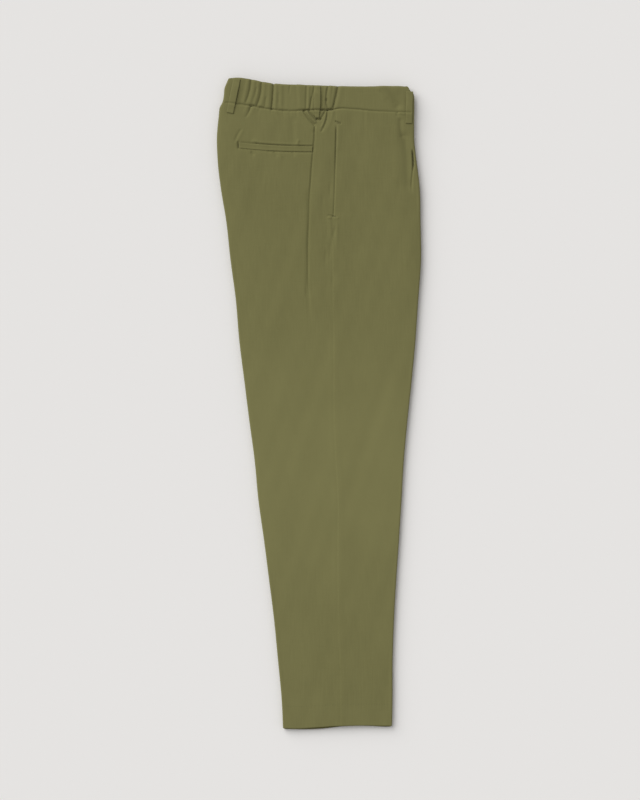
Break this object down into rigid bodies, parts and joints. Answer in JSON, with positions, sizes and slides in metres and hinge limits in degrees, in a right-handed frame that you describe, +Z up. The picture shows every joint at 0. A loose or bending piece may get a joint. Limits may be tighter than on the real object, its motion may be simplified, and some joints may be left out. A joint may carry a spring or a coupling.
{
  "type": "linen chinos",
  "caption": "Olive linen trousers with an elasticated back waist, laid flat and folded along the leg creases with the right leg on top.",
  "frame": {"origin": "centre of the garment's outline, on the surface it lies on", "axes": "+Y up the garment from the hems to the waistband, +X across it from the back creases to the front creases, +Z up off the surface"},
  "size_m": [0.3262, 1.0437, 0.0198],
  "materials": {
    "linen": "plain-woven matte linen, olive",
    "linen_inside": "plain-woven matte linen, olive, in the folds"
  },
  "bodies": {
    "root": {"right_front": "linen", "right_back": "linen", "waistband_front": "linen", "waistband_back": "linen", "belt_loop_back": "linen", "belt_loop_side": "linen", "belt_loop_front": "linen", "back_welt": "linen", "folded_layers": "linen_inside"}
  },
  "joints": []
}
